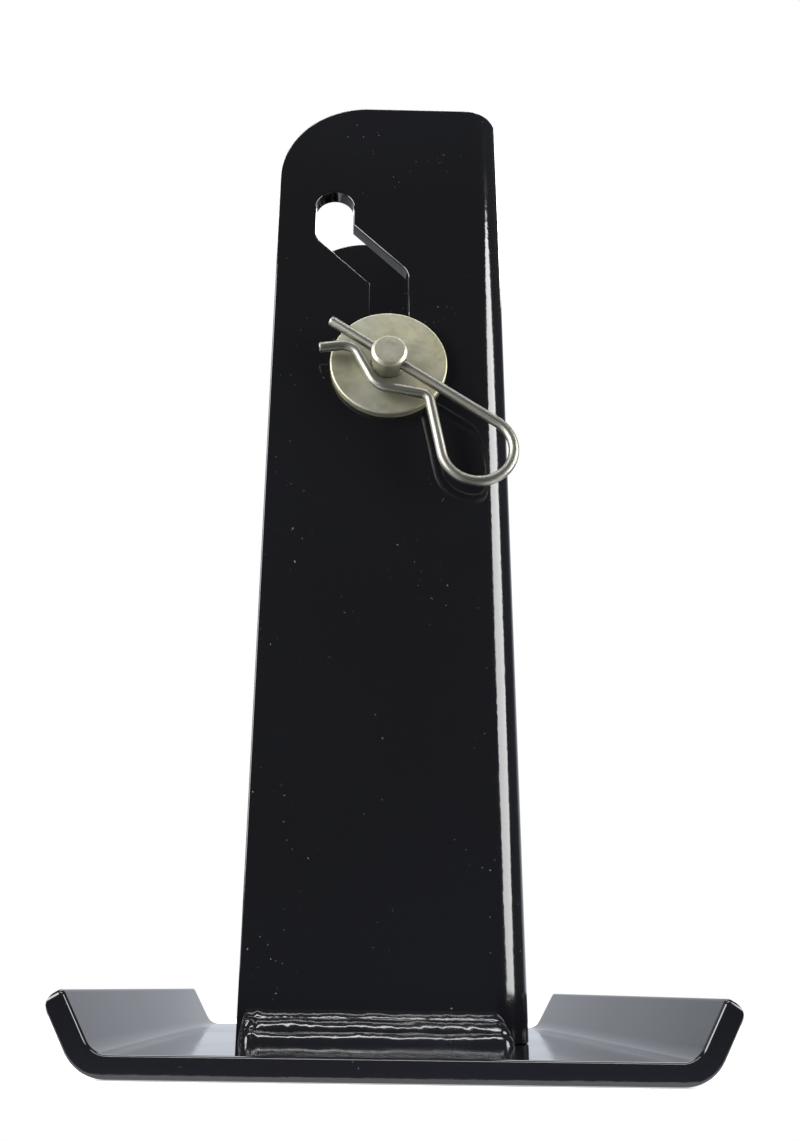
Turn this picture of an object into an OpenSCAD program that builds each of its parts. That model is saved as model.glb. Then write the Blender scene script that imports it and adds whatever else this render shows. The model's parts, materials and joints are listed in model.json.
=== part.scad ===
// Drop-leg parking stand: a bent-plate channel upright on a foot plate with turned-up
// ends, with a jogged slot, a clevis pin, two washers and a hairpin clip.
// The origin is the centre of the foot's underside, +Z is up, -Y is the clip side and
// +X is the side of the channel's web.

/* [Upright] */
// Thickness of the plate that the upright is bent from
plate_t = 6; // [5:0.05:8]
// Inside radius of the upright's bends
bend_r = 7.85; // [5:0.05:9]
// Width of each flange, from its free edge to the outside of the web
flange_w = 86; // [80:1:100]
// Width of the channel over both flanges
channel_d = 86; // [75:1:100]
// Height of the upright above the foot plate
upright_h = 345.5; // [335:0.5:420]
// Radius of the rounded top corner of each flange
corner_r = 34.5; // [20:0.5:40]

/* [Slot] */
// Width of the slot
slot_w = 14.3; // [13.6:0.1:16]
// Distance from the flange's free edge to the middle of the slot's lower leg
slot_inset = 42.3; // [40:0.1:46]
// Sideways jog from the lower leg to the upper leg
slot_jog = 20.9; // [16:0.1:22]
// Height of the slot's lower end above the foot plate, at the centre of its round
slot_low_z = 226; // [200:1:240]
// Straight run of the slot's lower leg
slot_low_run = 38.4; // [30:0.1:42]
// Straight run of the slot's upper leg
slot_high_run = 11; // [5:0.1:15]

/* [Foot] */
// Thickness of the foot plate
foot_t = 5.3; // [4.5:0.05:8]
// Flat width of the foot between the corners where its ends turn up
foot_w = 137.6; // [125:0.1:180]
// Length of the foot along the pin's direction
foot_d = 217; // [160:1:240]
// How far the foot stands out in front of the upright
foot_margin = 65.5; // [20:0.5:74]
// Inside radius of the foot's bends
foot_bend_r = 6.2; // [4:0.1:9]
// Length of each turned-up end, from the corner of its bend
tab_l = 16.3; // [13:0.1:28]
// Angle that each end is turned up by
tab_angle = 60; // [40:1:75]
// Radius on the outer corner of each turned-up end
tab_corner_r = 3.6; // [1:0.1:4]

/* [Welds] */
// Leg length of the fillet welds
weld_leg = 9.5; // [5:0.5:12]
// Distance that each flange's weld stops short of the free edge
weld_gap = 1; // [0:0.5:5]
// Angle that each weld runs on round the upright's bend
weld_wrap = 25; // [10:1:60]

/* [Pin and washers] */
// Diameter of the clevis pin
pin_d = 12.7; // [12:0.1:13.2]
// Length of the clevis pin under its head
pin_l = 101.6; // [101:0.1:105]
// How far the pin's end stands out in front of the upright
pin_end = 11; // [10:0.1:11.2]
// Diameter of the pin's head
head_d = 19; // [17:0.5:22]
// Thickness of the pin's head
head_t = 4.8; // [3:0.1:6]
// Diameter of the washers
washer_d = 42; // [36:0.5:46]
// Thickness of the washers
washer_t = 3; // [2.5:0.1:3]

/* [Hairpin clip] */
// Diameter of the clip's wire
wire_d = 3.6; // [3:0.1:3.8]
// Slope of the clip's straight leg below the horizontal
clip_tilt = 34.5; // [0:0.5:90]
// Length of the straight leg behind the pin's axis
clip_tail = 25.5; // [20:0.5:30]
// Length of the straight leg from the pin's axis to the loop
clip_reach = 45.6; // [40:0.1:50]
// Radius of the clip's loop, to the middle of the wire
clip_loop_r = 12.5; // [12:0.1:13]

/* [Hidden] */
$fn = 96;

black = [0.04, 0.04, 0.05];
zinc = [0.72, 0.72, 0.66];

over = 1;                 // how far a cutter runs past a face
face_gap = 0.1;           // gap between a washer and what it bears on
rest_gap = 0.05;          // gap under the pin where it rests in the slot
bore_gap = 0.2;           // a washer's hole is this much wider than the pin
clip_hole_gap = 0.6;      // the pin's cross hole is this much wider than the wire
clip_play = 1.6;          // gap between the front washer and the cross hole
wire_step = 0.02;         // a straight run of wire is this much thinner than a bend
bend_step = 0.01;         // each face of the foot's bends lies this far inside its flats
bend_lap = 1;             // angle that the foot's bends reach into its flats
wire_lap = 0.2;           // length that a straight run reaches into the bends it joins
pin_chamfer = 1;          // chamfer on the pin's end
head_chamfer = 0.8;       // chamfer on the pin's head

outer_r = bend_r + plate_t;
foot_outer_r = foot_bend_r + foot_t;
foot_top = foot_t;
free_x = -flange_w / 2;
front_y = -foot_d / 2 + foot_margin;
back_y = front_y + channel_d;
bend_x = free_x + flange_w - outer_r;

pin_x = free_x + slot_inset;
pin_z = foot_top + slot_low_z - (slot_w - pin_d) / 2 + rest_gap;
pin_y = front_y - pin_end;
clip_hole_d = wire_d + clip_hole_gap;
clip_y = front_y - face_gap - washer_t - clip_play - clip_hole_d / 2;

// Centres of the slot's ends and turns in the flange: across and up from the foot's top
// at the free edge. The slanted run is at 45 degrees.
slot_path = [
    [slot_inset, slot_low_z],
    [slot_inset, slot_low_z + slot_low_run],
    [slot_inset - slot_jog, slot_low_z + slot_low_run + slot_jog],
    [slot_inset - slot_jog, slot_low_z + slot_low_run + slot_jog + slot_high_run]
];

// Runs of the clip's wire from the straight leg's tip: length, turn after it and the
// turn's radius. A positive turn is towards the bowed leg.
clip_runs = [
    [clip_tail + clip_reach, 225, clip_loop_r],
    [21, -69, 3.6],
    [12.6, 53, 7.4],
    [10.3, -73, 6.4],
    [7.4, 0, 0]
];

// Plan outline of a solid with two rounded corners on the web side
module rounded_plan(w, d, r) {
    square([w - r, d]);
    translate([w - r, r]) square([r, d - 2 * r]);
    for (y = [r, d - r]) translate([w - r, y]) circle(r);
}

// Straight bar of the slot between two points, with round ends
module slot_bar(a, b) {
    run = b - a;
    translate(a) rotate(atan2(run[1], run[0])) {
        translate([0, -slot_w / 2]) square([norm(run), slot_w]);
        circle(d = slot_w);
        translate([norm(run), 0]) circle(d = slot_w);
    }
}

// The flange's opening: a lower leg, a slanted run and an upper leg
module slot_outline() {
    for (i = [0 : len(slot_path) - 2]) slot_bar(slot_path[i], slot_path[i + 1]);
}

// What is cut off the flange's top corner to round it
module corner_waste() {
    translate([0, upright_h - corner_r]) difference() {
        translate([-over, 0]) square([corner_r + over, corner_r + over]);
        translate([corner_r, 0]) circle(corner_r);
    }
}

// Channel bent from plate: two flanges and a web, open on the -X side
module channel_upright() {
    inner_w = flange_w - plate_t + over;
    inner_d = channel_d - 2 * plate_t;
    color(black) translate([free_x, front_y, foot_top]) difference() {
        linear_extrude(upright_h) difference() {
            rounded_plan(flange_w, channel_d, outer_r);
            translate([-over, plate_t]) rounded_plan(inner_w, inner_d, bend_r);
        }
        translate([0, channel_d + over, 0]) rotate([90, 0, 0])
            linear_extrude(channel_d + 2 * over) {
                slot_outline();
                corner_waste();
            }
    }
}

// Section of the foot's bend, from straight down and turning up by the ends' angle. It
// is a hair thinner than the flats and ends inside them, which joins them in one solid.
module foot_bend_section() {
    intersection() {
        difference() {
            circle(foot_outer_r - bend_step);
            circle(foot_bend_r + bend_step);
        }
        polygon([[0, 0], for (a = [-bend_lap, tab_angle / 2, tab_angle + bend_lap])
                 2 * foot_outer_r * [sin(a), -cos(a)]]);
    }
}

// One half of the foot's section: flat plate, bend and turned-up end
module foot_half_section() {
    setback = foot_bend_r * tan(tab_angle / 2);
    flat = foot_w / 2 - setback;
    straight = tab_l - setback;
    square([flat, foot_t]);
    translate([flat, foot_outer_r]) {
        foot_bend_section();
        rotate(tab_angle) translate([0, -foot_outer_r]) {
            translate([0, tab_corner_r]) square([straight, foot_t - tab_corner_r]);
            square([straight - tab_corner_r, foot_t]);
            translate([straight - tab_corner_r, tab_corner_r]) circle(tab_corner_r);
        }
    }
}

// Foot plate with its two ends turned up
module foot_plate() {
    color(black) translate([0, foot_d / 2, 0]) rotate([90, 0, 0]) linear_extrude(foot_d) {
        foot_half_section();
        mirror([1, 0]) foot_half_section();
    }
}

// Section of a fillet weld whose corner is at x = 0, z = 0
module weld_section() {
    polygon([[0, 0], [weld_leg, 0], [0, weld_leg]]);
}

// Weld along the front flange and a little way round the front bend
module flange_weld() {
    start = free_x + weld_gap;
    translate([start, front_y, foot_top]) rotate([90, 0, 90])
        linear_extrude(bend_x - start) mirror([1, 0]) weld_section();
    translate([bend_x, front_y + outer_r, foot_top]) rotate(-90)
        rotate_extrude(angle = weld_wrap) translate([outer_r, 0]) weld_section();
}

// Weld at the front of the upright
module weld_front() {
    color(black) flange_weld();
}

// The same weld at the back of the upright
module weld_back() {
    color(black) translate([0, front_y + back_y, 0]) mirror([0, 1, 0]) flange_weld();
}

// Clevis pin with a flat head at the back and a cross hole for the clip at the front
module clevis_pin() {
    color(zinc) translate([pin_x, pin_y, pin_z]) difference() {
        rotate([-90, 0, 0]) {
            cylinder(h = pin_chamfer, d1 = pin_d - 2 * pin_chamfer, d2 = pin_d);
            translate([0, 0, pin_chamfer]) cylinder(h = pin_l - pin_chamfer, d = pin_d);
            translate([0, 0, pin_l]) cylinder(h = head_t - head_chamfer, d = head_d);
            translate([0, 0, pin_l + head_t - head_chamfer])
                cylinder(h = head_chamfer, d1 = head_d, d2 = head_d - 2 * head_chamfer);
        }
        translate([0, clip_y - pin_y, 0]) rotate([0, 90 + clip_tilt, 0])
            cylinder(h = 2 * pin_d, d = clip_hole_d, center = true);
    }
}

// Flat washer on the pin, from y towards +Y
module washer(y) {
    color(zinc) translate([pin_x, y, pin_z]) rotate([-90, 0, 0]) difference() {
        cylinder(h = washer_t, d = washer_d);
        translate([0, 0, -over]) cylinder(h = washer_t + 2 * over, d = pin_d + bore_gap);
    }
}

// Washer between the clip and the front flange
module washer_front() {
    washer(front_y - face_gap - washer_t);
}

// Washer between the back flange and the pin's head
module washer_back() {
    washer(back_y + face_gap);
}

// Bend of wire that starts along +X and turns by an angle
module wire_elbow(r, turn) {
    side = sign(turn);
    translate([0, side * r, 0]) rotate(-90 * side) rotate_extrude(angle = turn)
        translate([r, 0]) circle(d = wire_d);
}

// Wire along +X in the XY plane: each run is followed by its turn and the next run.
// A straight run is a hair thinner than the bends and ends inside them, which makes the
// whole wire one solid.
module wire_from(i) {
    run = clip_runs[i][0];
    turn = clip_runs[i][1];
    r = clip_runs[i][2];
    lap_before = i > 0 ? wire_lap : 0;
    lap_after = i < len(clip_runs) - 1 ? wire_lap : 0;
    translate([-lap_before, 0, 0]) rotate([0, 90, 0])
        cylinder(h = run + lap_before + lap_after, d = wire_d - wire_step);
    if (i < len(clip_runs) - 1) translate([run, 0, 0]) {
        wire_elbow(r, turn);
        translate([0, sign(turn) * r, 0]) rotate(turn) translate([0, -sign(turn) * r, 0])
            wire_from(i + 1);
    }
}

// Spring-wire clip: a straight leg through the pin and a bowed leg round its outside
module hairpin_clip() {
    color(zinc) translate([pin_x, clip_y, pin_z]) rotate([0, clip_tilt, 0])
        rotate([-90, 0, 0]) translate([-clip_tail, 0, 0]) wire_from(0);
}

channel_upright();
foot_plate();
weld_front();
weld_back();
clevis_pin();
washer_front();
washer_back();
hairpin_clip();
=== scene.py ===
"""Looks of a drop-leg parking stand: a bent channel welded on a foot plate, with a headed
pin, two washers and a hairpin clip. Lengths in the shape code are millimetres."""
import json
import math

import bmesh
import bpy
from mathutils import Matrix, Vector, noise


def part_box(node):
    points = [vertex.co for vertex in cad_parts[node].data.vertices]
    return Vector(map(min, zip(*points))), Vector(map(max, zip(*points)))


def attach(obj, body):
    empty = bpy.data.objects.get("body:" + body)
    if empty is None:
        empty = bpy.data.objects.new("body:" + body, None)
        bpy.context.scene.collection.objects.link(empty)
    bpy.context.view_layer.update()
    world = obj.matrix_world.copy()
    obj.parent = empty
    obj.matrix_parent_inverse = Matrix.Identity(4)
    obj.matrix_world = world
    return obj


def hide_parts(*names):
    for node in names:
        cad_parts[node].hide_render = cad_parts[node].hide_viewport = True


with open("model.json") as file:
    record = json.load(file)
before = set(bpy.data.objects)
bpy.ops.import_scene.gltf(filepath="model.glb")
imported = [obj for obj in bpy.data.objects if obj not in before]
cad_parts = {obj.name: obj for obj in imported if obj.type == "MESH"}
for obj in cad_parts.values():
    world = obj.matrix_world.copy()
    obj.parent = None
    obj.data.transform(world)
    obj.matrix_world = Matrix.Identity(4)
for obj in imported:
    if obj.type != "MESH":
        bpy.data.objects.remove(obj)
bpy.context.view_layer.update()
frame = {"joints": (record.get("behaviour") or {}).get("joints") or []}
MM = 0.001

# Upright: plate, bend radii, top corners and the slot's width and runs
PLATE = 6.0
BEND_IN = 7.85
BEND_OUT = BEND_IN + PLATE
CORNER_R = 34.5
SLOT_W = 14.3
SLOT_LOW_RUN, SLOT_JOG, SLOT_HIGH_RUN = 38.4, 20.9, 11.0
PLATE_EDGE = 0.7

# Foot: width between the corners of its bends, and the ends that turn up
FOOT_FLAT = 137.6
FOOT_BEND_IN = 6.2
TAB = 16.3
TAB_ANGLE = math.radians(60)
TAB_END_R = 3.6
FOOT_TOP_EDGE = 1.2
FOOT_CORNER_R = 1.6

# Welds: leg, gap at the free edge, and the angle that they run on round the bend
WELD_LEG = 9.5
WELD_GAP = 0.9
WELD_WRAP = math.radians(25)
# Middle and half-width of each of a bead's runs, as shares of the way from toe to toe
BEAD_RUNS = ((0.13, 0.19), (0.50, 0.25), (0.90, 0.19))

# Pin, with the gap that it rests at in the slot
PIN_R = 6.35
PIN_HEAD_T = 4.8
PIN_CHAMFER = 1.0
HEAD_CHAMFER = 0.8
REST_GAP = 0.05
WASHER_HOLE_R = 6.45

# Clip: slope of its straight leg, how far that leg reaches behind the pin's axis, and the
# wire's runs from its tip as length, degrees turned after it and the turn's radius
CLIP_TILT = math.radians(34.5)
CLIP_TAIL = 25.5
CLIP_RUNS = [(71.1, 225, 12.5), (21, -69, 3.6), (12.6, 53, 7.4), (10.3, -73, 6.4), (7.4, 0, 0)]


def cad(node):
    """Low corner, high corner and size of a CAD node, in millimetres."""
    low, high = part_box(node)
    return low / MM, high / MM, (high - low) / MM


joints = {j["name"]: j for j in frame["joints"]}
up_low, up_high, up_size = cad("channel_upright")
foot_low, foot_high, _ = cad("foot_plate")
pin_low, _, pin_size = cad("clevis_pin")
clip_low, clip_high, clip_size = cad("hairpin_clip")
pin_at = Vector(joints["pin_spin"]["pos_m"]) / MM
clip_y = (clip_low.y + clip_high.y) / 2
wire_r = clip_size.y / 2
foot_top = up_low.z

# The clip's own directions: along its straight leg, and across to its bowed leg
clip_along = Vector((math.cos(CLIP_TILT), 0, -math.sin(CLIP_TILT)))
clip_across = Vector((-math.sin(CLIP_TILT), 0, -math.cos(CLIP_TILT)))
clip_middle = Vector((pin_at.x, clip_y, pin_at.z))


# ---------------------------------------------------------------- shape helpers

def rounded(points, radius, steps=5):
    """A closed outline with each corner listed in radius turned into a small curve."""
    out = []
    n = len(points)
    for i, p in enumerate(points):
        r = radius[i]
        if r == 0:
            out.append(Vector(p))
            continue
        p = Vector(p)
        a = (Vector(points[i - 1]) - p).normalized()
        b = (Vector(points[(i + 1) % n]) - p).normalized()
        half = a.angle(b) / 2
        reach = r / math.tan(half)
        mid = (a + b).normalized() * (r / math.sin(half))
        start = (p + a * reach) - (p + mid)
        turn = start.angle_signed((p + b * reach) - (p + mid))
        for k in range(steps + 1):
            t = -turn * k / steps
            c, s = math.cos(t), math.sin(t)
            out.append(p + mid + Vector((start.x * c - start.y * s, start.x * s + start.y * c)))
    return out


def slot_outline(path, half):
    """Outline round a slot that jogs sideways, clockwise, with round ends and turns."""
    def arc(c, a, b, n):
        return [c + half * Vector((math.cos(math.radians(a + (b - a) * k / n)),
                                   math.sin(math.radians(a + (b - a) * k / n))))
                for k in range(n + 1)]

    low, turn, high_turn, high = path
    lean = 1 if high_turn.x < turn.x else -1
    inner = half * math.tan(math.radians(22.5))
    low_inner = turn + Vector((-lean * half, -inner))
    high_inner = high_turn + Vector((lean * half, inner))
    out = arc(low, 0, -180, 20)
    if lean > 0:
        out += [low_inner] + arc(high_turn, 225, 180, 6) + arc(high, 180, 0, 20)
        out += [high_inner] + arc(turn, 45, 0, 6)
    else:
        out += arc(turn, 180, 135, 6) + [high_inner] + arc(high, 180, 0, 20)
        out += arc(high_turn, 0, -45, 6) + [low_inner]
    return out


def plate_blank(loops, thick, low_edge, high_edge, steps=4):
    """Flat plate with rounded edges: loops[0] is its outline anticlockwise, the rest are
    holes clockwise. The thickness runs along Z from 0, and low_edge and high_edge are the
    radii at its two faces."""
    bm = bmesh.new()
    low_rims, high_rims = [], []
    for loop in loops:
        n = len(loop)
        inward = []
        for i in range(n):
            a = (loop[i] - loop[i - 1]).normalized()
            b = (loop[(i + 1) % n] - loop[i]).normalized()
            na, nb = Vector((-a.y, a.x)), Vector((-b.y, b.x))
            inward.append((na + nb) / max(0.3, 1 + na.dot(nb)))
        rings = []
        shares = [(1 - math.sin(math.pi / 2 * k / steps), 1 - math.cos(math.pi / 2 * k / steps))
                  for k in range(steps + 1)]
        levels = [(low_edge * a, low_edge * b) for a, b in shares]
        levels += [(high_edge * a, thick - high_edge * b) for a, b in reversed(shares)]
        for inset, z in levels:
            rings.append([bm.verts.new((*(loop[i] + inward[i] * inset), z)) for i in range(n)])
        for low, high in zip(rings, rings[1:]):
            for i in range(n):
                bm.faces.new((low[i], low[(i + 1) % n], high[(i + 1) % n], high[i]))
        low_rims.append(rings[0])
        high_rims.append(rings[-1])
    for rims in (low_rims, high_rims):
        edges = [bm.edges.get((r[i], r[(i + 1) % len(r)])) for r in rims for i in range(len(r))]
        bmesh.ops.triangle_fill(bm, use_beauty=True, use_dissolve=False, edges=edges)
    return bm


def cut_across(bm, places):
    """Adds a line of vertices across the blank at each place along X."""
    for u in places:
        geom = bm.verts[:] + bm.edges[:] + bm.faces[:]
        bmesh.ops.bisect_plane(bm, geom=geom, dist=1e-5, plane_co=(u, 0, 0), plane_no=(1, 0, 0))


def finish_mesh(name, bm, material, body, node, sharp=None):
    """Turns a bmesh in millimetres into a finished piece in metres that rides on a body and
    replaces a CAD node. sharp is the angle in degrees from which edges stay sharp."""
    bmesh.ops.scale(bm, vec=(MM, MM, MM), verts=bm.verts)
    bmesh.ops.recalc_face_normals(bm, faces=bm.faces)
    mesh = bpy.data.meshes.new(name)
    bm.to_mesh(mesh)
    bm.free()
    obj = bpy.data.objects.new(name, mesh)
    bpy.context.scene.collection.objects.link(obj)
    mesh.shade_smooth()
    if sharp is not None:
        mesh.set_sharp_from_angle(angle=math.radians(sharp))
    normals = obj.modifiers.new("even_shading", "WEIGHTED_NORMAL")
    normals.keep_sharp = sharp is not None
    normals.weight = 80
    mesh.materials.append(material)
    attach(obj, body)
    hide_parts(node)
    return obj


def lathe(profile, place, segments=120):
    """Closed solid of revolution. profile lists (radius, distance along the axis) from one
    end of the axis to the other, or as a closed ring; place puts (across, up, along)."""
    bm = bmesh.new()
    rings = []
    for r, h in profile:
        if r < 1e-6:
            rings.append([bm.verts.new(place(0, 0, h))])
        else:
            rings.append([bm.verts.new(place(r * math.cos(2 * math.pi * k / segments),
                                             r * math.sin(2 * math.pi * k / segments), h))
                          for k in range(segments)])
    pairs = list(zip(rings, rings[1:]))
    if profile[0][0] > 1e-6:
        pairs.append((rings[-1], rings[0]))
    for a, b in pairs:
        for k in range(segments):
            n = (k + 1) % segments
            if len(a) == 1:
                bm.faces.new((a[0], b[n], b[k]))
            elif len(b) == 1:
                bm.faces.new((a[k], a[n], b[0]))
            else:
                bm.faces.new((a[k], a[n], b[n], b[k]))
    return bm


def eased(profile, radius, steps=3, closed=False):
    """A lathe profile with its corners rounded by radius, one value for each point."""
    out = []
    n = len(profile)
    for i, p in enumerate(profile):
        r = radius[i]
        if r == 0 or (not closed and i in (0, n - 1)):
            out.append(p)
            continue
        here = Vector(p)
        a = (Vector(profile[i - 1]) - here).normalized()
        b = (Vector(profile[(i + 1) % n]) - here).normalized()
        reach = r / math.tan(a.angle(b) / 2)
        for k in range(steps + 1):
            t = k / steps
            q = here + a * reach * (1 - t) ** 2 + b * reach * t ** 2
            out.append((q.x, q.y))
    return out


# ---------------------------------------------------------------- materials

class Finish:
    """A procedural material with its nodes added one after another."""

    def __init__(self, name):
        self.material = bpy.data.materials.new(name)
        self.material.use_nodes = True
        self.tree = self.material.node_tree
        self.shader = self.tree.nodes["Principled BSDF"]
        self.place = self.add("ShaderNodeTexCoord").outputs["Object"]

    def add(self, kind, **settings):
        made = self.tree.nodes.new(kind)
        for key, value in settings.items():
            setattr(made, key, value)
        return made

    def set(self, **values):
        for key, value in values.items():
            self.shader.inputs[key.replace("_", " ")].default_value = value

    def link(self, output, target):
        self.tree.links.new(output, target)

    def stretched(self, source, scale):
        mapping = self.add("ShaderNodeMapping")
        mapping.inputs["Scale"].default_value = scale
        self.link(source, mapping.inputs["Vector"])
        return mapping.outputs["Vector"]

    def noise(self, scale, detail=2.0, rough=0.5, source=None):
        made = self.add("ShaderNodeTexNoise")
        made.inputs["Scale"].default_value = scale
        made.inputs["Detail"].default_value = detail
        made.inputs["Roughness"].default_value = rough
        self.link(source or self.place, made.inputs["Vector"])
        return made.outputs["Fac"]

    def range(self, source, from_low, from_high, low, high):
        made = self.add("ShaderNodeMapRange")
        for key, value in zip(("From Min", "From Max", "To Min", "To Max"),
                              (from_low, from_high, low, high)):
            made.inputs[key].default_value = value
        self.link(source, made.inputs["Value"])
        return made.outputs["Result"]

    def maths(self, operation, a, b):
        made = self.add("ShaderNodeMath", operation=operation)
        for i, value in enumerate((a, b)):
            if isinstance(value, (int, float)):
                made.inputs[i].default_value = value
            else:
                self.link(value, made.inputs[i])
        return made.outputs[0]

    def mix(self, share, a, b):
        made = self.add("ShaderNodeMix", data_type="RGBA")
        self.link(share, made.inputs["Factor"])
        for key, value in ((6, a), (7, b)):
            if isinstance(value, tuple):
                made.inputs[key].default_value = (*value, 1)
            else:
                self.link(value, made.inputs[key])
        return made.outputs[2]

    def bump(self, height, distance, strength=1.0):
        made = self.add("ShaderNodeBump")
        made.inputs["Strength"].default_value = strength
        made.inputs["Distance"].default_value = distance
        self.link(height, made.inputs["Height"])
        self.link(made.outputs["Normal"], self.shader.inputs["Normal"])
        return made

    def into(self, output, name):
        self.link(output, self.shader.inputs[name])


def black_coat(name, peel, gloss):
    """Gloss black powder coat: orange peel, faint smears and a few dust specks."""
    f = Finish(name)
    f.set(Metallic=0.0, IOR=1.5)
    smear = f.noise(14, 4, 0.6)
    cloud = f.noise(5, 2, 0.5)
    dust = f.range(f.noise(900, 1, 0.5), 0.755, 0.80, 0, 1)
    patch = f.range(f.noise(45, 2, 0.5), 0.52, 0.66, 0, 1)
    specks = f.maths("MULTIPLY", dust, patch)
    base = f.mix(f.range(cloud, 0.35, 0.7, 0, 1), (0.0056, 0.0056, 0.0062), (0.0074, 0.0078, 0.0104))
    f.into(f.mix(specks, base, (0.16, 0.16, 0.165)), "Base Color")
    rough = f.range(smear, 0.35, 0.72, gloss, gloss + 0.09)
    f.into(f.maths("ADD", rough, f.maths("MULTIPLY", specks, 0.3)), "Roughness")
    coarse = f.noise(330, 2, 0.45)
    fine = f.maths("MULTIPLY", f.noise(1500, 2, 0.5), 0.16)
    f.bump(f.maths("ADD", coarse, fine), peel * MM)
    return f.material


def plated(name, base, tint, rough, streak=None, mottling=160):
    """Zinc-plated steel: mottled, with a warmer stain and faint scratches."""
    f = Finish(name)
    f.set(Metallic=0.8)
    mottle = f.noise(mottling, 5, 0.62)
    stain = f.range(f.noise(32, 3, 0.6), 0.40, 0.64, 0, 1)
    colour = f.mix(f.range(mottle, 0.32, 0.68, 0, 1), tuple(c * 0.86 for c in base), base)
    f.into(f.mix(stain, colour, tint), "Base Color")
    grain = f.noise(700, 3, 0.6, f.stretched(f.place, streak) if streak else None)
    f.into(f.maths("ADD", f.range(mottle, 0.3, 0.7, rough - 0.05, rough + 0.07),
                   f.range(grain, 0.3, 0.7, -0.05, 0.05)), "Roughness")
    f.bump(f.maths("ADD", grain, f.maths("MULTIPLY", mottle, 0.6)), 0.03 * MM)
    return f.material


def drawn_wire(name):
    """Drawn spring wire: fine die lines along the wire, with painted shade darkening their valleys.
    """
    f = Finish(name)
    f.set(Metallic=1.0)
    along = f.add("ShaderNodeUVMap").outputs["UV"]
    lines = f.noise(1.0, 3, 0.6, f.stretched(along, (6, 42, 1)))
    patch = f.noise(110, 3, 0.6)
    # Base colour: painted shade, darker in the valleys of the die lines; the random patches below
    # are the wire's own tone.
    colour = f.mix(f.range(lines, 0.34, 0.62, 0, 1), (0.13, 0.128, 0.11), (0.34, 0.335, 0.30))
    f.into(f.mix(f.range(patch, 0.45, 0.75, 0, 0.5), colour, (0.26, 0.25, 0.20)), "Base Color")
    f.into(f.range(lines, 0.3, 0.7, 0.50, 0.38), "Roughness")
    f.bump(f.maths("ADD", lines, f.maths("MULTIPLY", patch, 0.4)), 0.05 * MM)
    return f.material


coat = black_coat("black_powder_coat", 0.042, 0.05)
foot_coat = black_coat("black_powder_coat_foot", 0.016, 0.035)
weld_coat = black_coat("coated_weld", 0.06, 0.08)
zinc_washer = plated("zinc_washer", (0.44, 0.44, 0.36), (0.42, 0.395, 0.27), 0.52)
zinc_pin = plated("zinc_pin", (0.45, 0.45, 0.385), (0.40, 0.38, 0.29), 0.46, (1, 0.05, 1))
spring_wire = drawn_wire("spring_wire")


# ---------------------------------------------------------------- channel upright

def make_channel():
    """Cuts the channel's flat blank and wraps it round its two bends."""
    width, depth, height = up_size
    flat = width - BEND_OUT
    bend = BEND_OUT * math.pi / 2
    web = depth - 2 * BEND_OUT
    total = 2 * flat + 2 * bend + web
    outline = rounded([(0, 0), (total, 0), (total, height), (0, height)],
                      [0, 0, CORNER_R, CORNER_R], 28)
    inset = pin_at.x - up_low.x
    low = pin_at.z - PIN_R - REST_GAP - foot_top + SLOT_W / 2
    turn = low + SLOT_LOW_RUN
    path = [Vector((inset, low)), Vector((inset, turn)),
            Vector((inset - SLOT_JOG, turn + SLOT_JOG)),
            Vector((inset - SLOT_JOG, turn + SLOT_JOG + SLOT_HIGH_RUN))]
    mirrored = [Vector((total - p.x, p.y)) for p in path]
    holes = [slot_outline(path, SLOT_W / 2), slot_outline(mirrored, SLOT_W / 2)]
    bm = plate_blank([outline, *holes], PLATE, PLATE_EDGE, PLATE_EDGE)
    steps = 14
    cut_across(bm, [flat + bend * k / steps for k in range(steps + 1)]
               + [flat + bend + web + bend * k / steps for k in range(steps + 1)])
    x0, y0, y1 = up_low.x, up_low.y, up_high.y
    cx = x0 + flat
    for v in bm.verts:
        u, z, t = v.co
        r = BEND_OUT - t
        if u <= flat:
            at = (x0 + u, y0 + t)
        elif u <= flat + bend:
            a = (u - flat) / BEND_OUT
            at = (cx + r * math.sin(a), y0 + BEND_OUT - r * math.cos(a))
        elif u <= flat + bend + web:
            at = (x0 + width - t, y0 + BEND_OUT + u - flat - bend)
        elif u <= flat + 2 * bend + web:
            a = (u - flat - bend - web) / BEND_OUT
            at = (cx + r * math.cos(a), y1 - BEND_OUT + r * math.sin(a))
        else:
            at = (x0 + total - u, y1 - t)
        v.co = (at[0], at[1], foot_top + z)
    return finish_mesh("upright_channel", bm, coat, "stand", "channel_upright")


# ---------------------------------------------------------------- foot plate

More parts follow.
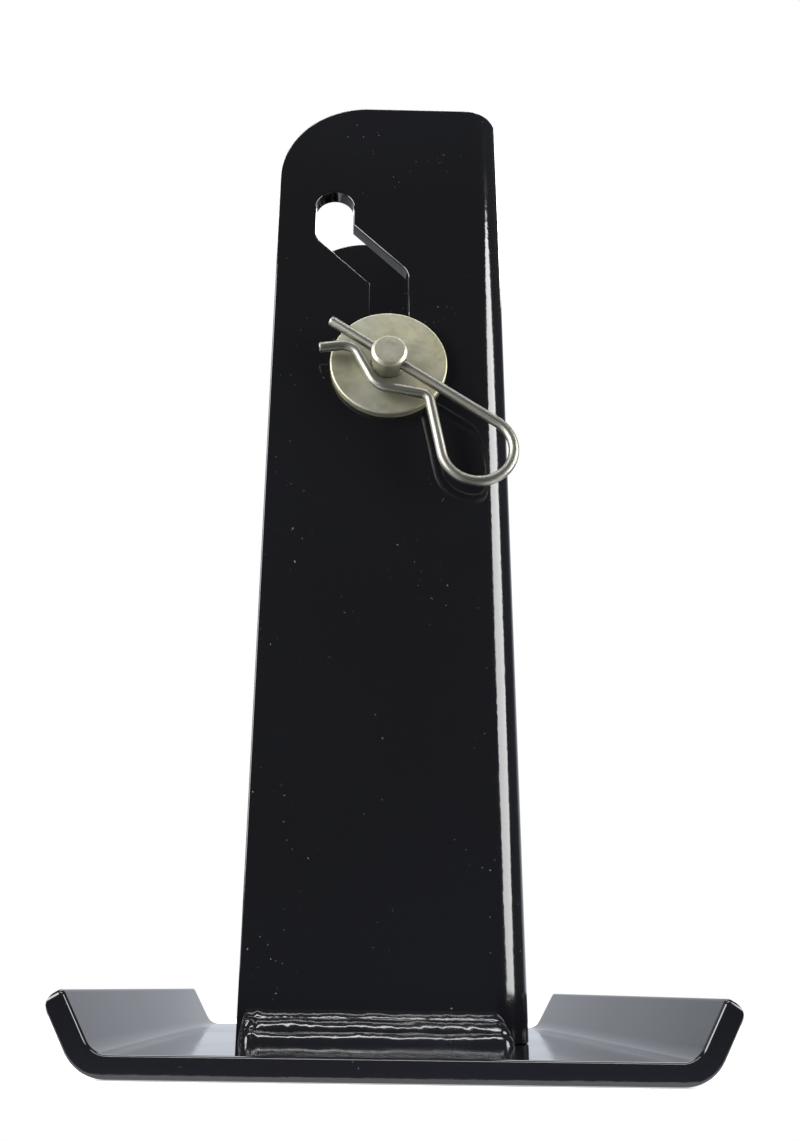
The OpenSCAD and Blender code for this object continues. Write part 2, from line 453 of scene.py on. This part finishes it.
def make_foot():
    """Cuts the foot's flat blank, rounds its ends underneath and turns them up."""
    thick = foot_top - foot_low.z
    outer = FOOT_BEND_IN + thick
    setback = FOOT_BEND_IN * math.tan(TAB_ANGLE / 2)
    flat = FOOT_FLAT / 2 - setback
    bend = outer * TAB_ANGLE
    end = flat + bend + TAB - setback
    y0, y1 = foot_low.y, foot_high.y
    outline = rounded([(-end, y0), (end, y0), (end, y1), (-end, y1)], [FOOT_CORNER_R] * 4, 5)
    bm = plate_blank([outline], thick, PLATE_EDGE, FOOT_TOP_EDGE)
    steps = 12
    cuts = [flat + bend * k / steps for k in range(steps + 1)]
    cuts += [end - TAB_END_R * f for f in (1, 0.75, 0.5, 0.3, 0.15)]
    cut_across(bm, [s * c for c in cuts for s in (1, -1)])
    for v in bm.verts:
        u, y, t = v.co
        side = -1 if u < 0 else 1
        u = abs(u)
        if u > end - TAB_END_R:
            into = min(TAB_END_R, u - end + TAB_END_R)
            t = max(t, TAB_END_R - math.sqrt(max(0, TAB_END_R ** 2 - into ** 2)))
        r = outer - t
        if u <= flat:
            at = (u, t)
        else:
            a = min(u - flat, bend) / outer
            on = max(0, u - flat - bend)
            at = (flat + r * math.sin(a) + on * math.cos(a),
                  outer - r * math.cos(a) + on * math.sin(a))
        v.co = (side * at[0], y, foot_low.z + at[1])
    return finish_mesh("foot_plate_bent", bm, foot_coat, "stand", "foot_plate")


# ---------------------------------------------------------------- welds

def bead(name, node, line, length, seed):
    """Fillet weld of three overlapping runs laid along line(s), which gives the corner's
    point and the direction away from the upright. Both ends are rounded off, and the
    start is lumpy."""
    bm = bmesh.new()
    rows, across = max(8, int(length / 0.35)), 44
    leg = WELD_LEG - 1.0
    rings = []
    for i in range(rows + 1):
        s = length * i / rows
        point, out = line(s)
        nose = math.sqrt(max(0.0, 1 - max(0.0, 1 - min(s / 2.5, (length - s) / 4.0)) ** 2))
        start_lump = math.exp(-((s - 3.4) / 3.0) ** 2)
        ring = []
        for j in range(across + 1):
            v = j / across
            lift = math.pi / 2 * (1 - v)
            r = leg / (math.cos(lift) + math.sin(lift)) * (1 + 0.09 * math.sin(2 * lift))
            best, ripple = 0.0, 0.0
            for k, (middle, wide) in enumerate(BEAD_RUNS):
                drift = 0.045 * noise.noise(Vector((s / 9, seed + 7 * k, 0.5)))
                drift += 0.012 * noise.noise(Vector((s / 2.6, seed + 7 * k, 3.5)))
                d = (v - middle - drift) / wide
                if abs(d) < 1 and math.sqrt(1 - d * d) > best:
                    best = math.sqrt(1 - d * d)
                    ripple = math.sin(2 * math.pi * s / 2.1 + 2.4 * d * d + 2.1 * k
                                      + 2.2 * noise.noise(Vector((s / 5, seed + k, 9))))
            r += 0.70 * best + 0.02 * ripple * best
            r += 0.22 * noise.noise(Vector((s / 7.5, v * 2.0, seed)))
            r += 0.07 * noise.noise(Vector((s / 2.2, v * 6.0, seed + 4)))
            r += start_lump * (0.3 + 1.1 * noise.noise(Vector((s / 2.4, v * 2.2, seed + 11))))
            r *= 0.12 + 0.88 * nose
            sink = 0.3 * max(0.0, 1 - min(v, 1 - v) * 8)
            up = r * math.sin(lift) - (sink if v > 0.5 else 0)
            away = r * math.cos(lift) - (sink if v < 0.5 else 0)
            ring.append(bm.verts.new(point + out * away + Vector((0, 0, up))))
        ring.append(bm.verts.new(point - out * 0.6 + Vector((0, 0, -0.6))))
        rings.append(ring)
    count = across + 2
    for a, b in zip(rings, rings[1:]):
        for j in range(count):
            n = (j + 1) % count
            bm.faces.new((a[j], a[n], b[n], b[j]))
    bm.faces.new(rings[0])
    bm.faces.new(list(reversed(rings[-1])))
    return finish_mesh(name, bm, weld_coat, "stand", node)


def make_welds():
    """Lays the same weld along both flanges and a little way round the bends."""
    bend_x = up_high.x - BEND_OUT
    run = bend_x - up_low.x - WELD_GAP
    length = run + BEND_OUT * WELD_WRAP

    def along(side):
        """Line of the weld on the flange that faces -Y or +Y, by side -1 or 1."""
        face = up_low.y if side < 0 else up_high.y

        def line(s):
            if s <= run:
                return Vector((up_low.x + WELD_GAP + s, face, foot_top)), Vector((0, side, 0))
            a = (s - run) / BEND_OUT
            out = Vector((math.sin(a), side * math.cos(a), 0))
            centre = Vector((bend_x, face - side * BEND_OUT, foot_top))
            return centre + out * BEND_OUT, out
        return line

    bead("weld_bead_front", "weld_front", along(-1), length, 3.0)
    bead("weld_bead_back", "weld_back", along(1), length, 31.0)


# ---------------------------------------------------------------- pin and washers

def on_pin(start, direction=1):
    """Places a lathe's (across, up, along) on the pin's axis, along from Y = start."""
    def place(a, b, h):
        return Vector((pin_at.x + a, start + direction * h, pin_at.z + b))
    return place


def blank_object(name, bm):
    """A plain object in metres from a bmesh in millimetres, for a boolean cut."""
    bmesh.ops.scale(bm, vec=(MM, MM, MM), verts=bm.verts)
    bmesh.ops.recalc_face_normals(bm, faces=bm.faces)
    mesh = bpy.data.meshes.new(name)
    bm.to_mesh(mesh)
    bm.free()
    obj = bpy.data.objects.new(name, mesh)
    bpy.context.scene.collection.objects.link(obj)
    return obj


def make_pin():
    """Turns the headed pin and bores its cross hole, countersunk at both ends."""
    length, head_r = pin_size.y, pin_size.x / 2
    shank = length - PIN_HEAD_T
    profile = [(0, 0.12), (2.6, 0.06), (PIN_R - PIN_CHAMFER, 0), (PIN_R, PIN_CHAMFER),
               (PIN_R, shank), (head_r, shank), (head_r, length - HEAD_CHAMFER),
               (head_r - HEAD_CHAMFER, length), (3.0, length - 0.1), (0, length - 0.25)]
    profile = eased(profile, [0, 0, 0.22, 0.22, 0.25, 0.25, 0.3, 0.3, 0, 0])
    blank = blank_object("pin_blank", lathe(profile, on_pin(pin_low.y), 144))

    hole_r, half = wire_r + 0.3, 8.0
    sink_r, sink_at = hole_r + 1.9, half - 2.1
    ring = [(0, -half), (sink_r, -half), (hole_r, -sink_at), (hole_r, sink_at), (sink_r, half),
            (0, half)]

    def through(a, b, h):
        return clip_middle - clip_across * a + Vector((0, b, 0)) + clip_along * h

    cutter = blank_object("pin_cutter", lathe(ring, through, 48))
    boolean = blank.modifiers.new("cross_hole", "BOOLEAN")
    boolean.operation = "DIFFERENCE"
    boolean.solver = "EXACT"
    boolean.object = cutter
    bpy.context.view_layer.update()
    graph = bpy.context.evaluated_depsgraph_get()
    done = bmesh.new()
    done.from_mesh(blank.evaluated_get(graph).to_mesh())
    bpy.data.objects.remove(cutter)
    bpy.data.objects.remove(blank)
    bmesh.ops.scale(done, vec=(1 / MM,) * 3, verts=done.verts)
    return finish_mesh("clevis_pin_turned", done, zinc_pin, "pin", "clevis_pin", 28)


def make_washer(name, node, body, face_out):
    """Stamped washer: rolled edge on the outer side, small burr edge on the other."""
    low, high, size = cad(node)
    outer, thick = size.x / 2, size.y
    profile = [(WASHER_HOLE_R, 0), (outer, 0), (outer, thick), (WASHER_HOLE_R, thick)]
    profile = eased(profile, [0.35, 0.75, 0.3, 0.2], 5, closed=True)
    start = low.y if face_out < 0 else high.y
    bm = lathe(profile, on_pin(start, -face_out), 160)
    return finish_mesh(name, bm, zinc_washer, body, node, 40)


# ---------------------------------------------------------------- hairpin clip

def clip_line():
    """Centre line of the clip's wire as points in its own plane: along the straight leg,
    and across towards the bowed leg."""
    points = []
    at, heading = Vector((-CLIP_TAIL, 0)), 0.0
    for length, turn, radius in CLIP_RUNS:
        steps = max(2, int(length / 1.2))
        points += [at + Vector((math.cos(heading), math.sin(heading))) * (length * k / steps)
                   for k in range(steps)]
        at = at + Vector((math.cos(heading), math.sin(heading))) * length
        if not turn:
            break
        side = 1 if turn > 0 else -1
        centre = at + Vector((-math.sin(heading), math.cos(heading))) * (side * radius)
        sweep = math.radians(turn)
        bends = max(6, int(abs(turn) / 4))
        for k in range(bends):
            a = heading - side * math.pi / 2 + sweep * k / bends
            points.append(centre + radius * Vector((math.cos(a), math.sin(a))))
        heading += sweep
        a = heading - side * math.pi / 2
        at = centre + radius * Vector((math.cos(a), math.sin(a)))
    points.append(at)
    return points


def make_clip():
    """Sweeps the round wire along its line, with its length and turn kept as UVs."""
    out = Vector((0, -1, 0))
    line = clip_line()
    bm = bmesh.new()
    uv = bm.loops.layers.uv.new("UVMap")
    around = 32
    rings, travelled = [], [0.0]
    for i, p in enumerate(line):
        if i:
            travelled.append(travelled[-1] + (p - line[i - 1]).length)
        a = line[max(0, i - 1)]
        b = line[min(len(line) - 1, i + 1)]
        way = (b - a).normalized()
        side = clip_along * -way.y + clip_across * way.x
        centre = clip_middle + clip_along * p.x + clip_across * p.y
        rings.append((centre, side, clip_along * way.x + clip_across * way.y))

    def ring(centre, side, r):
        return [bm.verts.new(centre + side * (r * math.cos(2 * math.pi * k / around))
                             + out * (r * math.sin(2 * math.pi * k / around)))
                for k in range(around)]

    # each sheared end: how far in and how wide its rings are, as shares of the radius
    cap = ((0.0, 0.55), (0.02, 0.80), (0.10, 0.92), (0.28, 1.0))
    loops, marks = [], []
    centre, side, way = rings[0]
    for off, share in cap:
        loops.append(ring(centre + way * off * wire_r, side, wire_r * share))
        marks.append(off * wire_r)
    for (centre, side, way), s in list(zip(rings, travelled))[1:-1]:
        loops.append(ring(centre, side, wire_r))
        marks.append(s)
    centre, side, way = rings[-1]
    for off, share in reversed(cap):
        loops.append(ring(centre - way * off * wire_r, side, wire_r * share))
        marks.append(travelled[-1] - off * wire_r)
    for (a, b), (s0, s1) in zip(zip(loops, loops[1:]), zip(marks, marks[1:])):
        for k in range(around):
            n = (k + 1) % around
            face = bm.faces.new((a[k], a[n], b[n], b[k]))
            spots = ((k, s0), (k + 1, s0), (k + 1, s1), (k, s1))
            for loop, (turn, s) in zip(face.loops, spots):
                loop[uv].uv = (s / 130, turn / around)
    bm.faces.new(loops[0])
    bm.faces.new(list(reversed(loops[-1])))
    return finish_mesh("hairpin_clip_wire", bm, spring_wire, "clip", "hairpin_clip",
                       50)


make_channel()
make_foot()
make_welds()
make_pin()
make_washer("washer_front_stamped", "washer_front", "clip_washer", -1)
make_washer("washer_back_stamped", "washer_back", "head_washer", 1)
make_clip()


# ---------------------------------------------------------------- floor, light and camera

def make_floor():
    """A small pale floor that starts just in front of the foot, so that the faces that
    look forwards don't mirror it."""
    wide, deep, ahead = 0.8, 0.5, 0.015
    bm = bmesh.new()
    bmesh.ops.create_grid(bm, x_segments=2, y_segments=2, size=0.5)
    mesh = bpy.data.meshes.new("floor")
    bm.to_mesh(mesh)
    bm.free()
    obj = bpy.data.objects.new("floor", mesh)
    obj.scale = (wide, deep, 1)
    obj.location = (0, foot_low.y * MM - ahead + deep / 2, -0.0003)
    bpy.context.scene.collection.objects.link(obj)
    f = Finish("pale_floor")
    f.set(Roughness=0.9, Emission_Color=(1, 1, 1, 1), Emission_Strength=0.55)
    f.shader.inputs["Specular IOR Level"].default_value = 0.0
    f.into(f.mix(f.range(f.noise(3, 2), 0.3, 0.7, 0, 1), (0.90, 0.90, 0.90), (0.93, 0.93, 0.93)),
           "Base Color")
    mesh.materials.append(f.material)


def softbox(name, place, aim, wide, high, power, shape="RECTANGLE"):
    light = bpy.data.lights.new(name, "AREA")
    light.shape = shape
    light.size, light.size_y = wide, high
    light.energy = power
    obj = bpy.data.objects.new(name, light)
    obj.location = place
    obj.rotation_euler = (Vector(aim) - Vector(place)).to_track_quat("-Z", "Y").to_euler()
    bpy.context.scene.collection.objects.link(obj)


def make_room():
    """White behind the object for the camera. Reflections see a dark room in front of the
    object and a pale wall behind it, a little dimmer higher up."""
    world = bpy.data.worlds.new("studio")
    bpy.context.scene.world = world
    world.use_nodes = True
    tree = world.node_tree
    tree.nodes.clear()

    def ramp(source, low, high, dark, bright, kind="LINEAR"):
        made = tree.nodes.new("ShaderNodeMapRange")
        made.interpolation_type = kind
        for key, value in zip(("From Min", "From Max", "To Min", "To Max"),
                              (low, high, dark, bright)):
            made.inputs[key].default_value = value
        tree.links.new(source, made.inputs["Value"])
        return made.outputs["Result"]

    direction = tree.nodes.new("ShaderNodeTexCoord")
    split = tree.nodes.new("ShaderNodeSeparateXYZ")
    tree.links.new(direction.outputs["Generated"], split.inputs[0])
    strength = tree.nodes.new("ShaderNodeMath")
    strength.operation = "MULTIPLY"
    tree.links.new(ramp(split.outputs["Y"], 0.62, 0.86, 0.08, 1.0, "SMOOTHSTEP"), strength.inputs[0])
    tree.links.new(ramp(split.outputs["Z"], 0.05, 0.13, 0.85, 0.68), strength.inputs[1])
    room = tree.nodes.new("ShaderNodeBackground")
    room.inputs["Color"].default_value = (0.86, 0.91, 1, 1)
    tree.links.new(strength.outputs[0], room.inputs["Strength"])
    seen = tree.nodes.new("ShaderNodeBackground")
    seen.inputs["Color"].default_value = (1, 1, 1, 1)
    ray = tree.nodes.new("ShaderNodeLightPath")
    both = tree.nodes.new("ShaderNodeMixShader")
    tree.links.new(ray.outputs["Is Camera Ray"], both.inputs[0])
    tree.links.new(room.outputs[0], both.inputs[1])
    tree.links.new(seen.outputs[0], both.inputs[2])
    out = tree.nodes.new("ShaderNodeOutputWorld")
    tree.links.new(both.outputs[0], out.inputs["Surface"])


def make_lights():
    """The right softbox draws the bright stripe on the upright's bend."""
    softbox("right_box", (1.177, -0.380, 0.55), (0.03, -0.03, 0.55), 0.66, 1.56, 30, "ELLIPSE")
    softbox("left_box", (-1.05, -0.60, 0.50), (0, -0.03, 0.20), 0.7, 1.1, 34)
    softbox("top_box", (0.0, -0.38, 1.45), (0, -0.04, 0.15), 1.4, 0.14, 11)
    softbox("back_box", (0.0, 0.97, 1.5), (0, 0.07, 0.2), 1.6, 0.6, 18)


def make_camera():
    """A camera near the ground in front of the foot, looking up at the upright."""
    data = bpy.data.cameras.new("camera")
    data.sensor_fit = "AUTO"
    data.sensor_width = 36
    data.lens = 32.545
    data.shift_x = 0.0295
    data.shift_y = 0.0383
    data.clip_start = 0.01
    obj = bpy.data.objects.new("camera", data)
    bpy.context.scene.collection.objects.link(obj)
    yaw, pitch, roll = (math.radians(a) for a in (0.657, 19.918, 0.828))
    ahead = Vector((math.sin(yaw) * math.cos(pitch), math.cos(yaw) * math.cos(pitch),
                    math.sin(pitch)))
    right = Vector((math.cos(yaw), -math.sin(yaw), 0))
    up = right.cross(ahead)
    right, up = (math.cos(roll) * right + math.sin(roll) * up,
                 math.cos(roll) * up - math.sin(roll) * right)
    turn = Matrix((right, up, -ahead)).transposed()
    obj.matrix_world = Matrix.Translation((-0.011006, -0.361816, 0.020191)) @ turn.to_4x4()
    bpy.context.scene.camera = obj


make_floor()
make_room()
make_lights()
make_camera()
bpy.context.scene.view_settings.view_transform = "Standard"

bpy.context.view_layer.update()
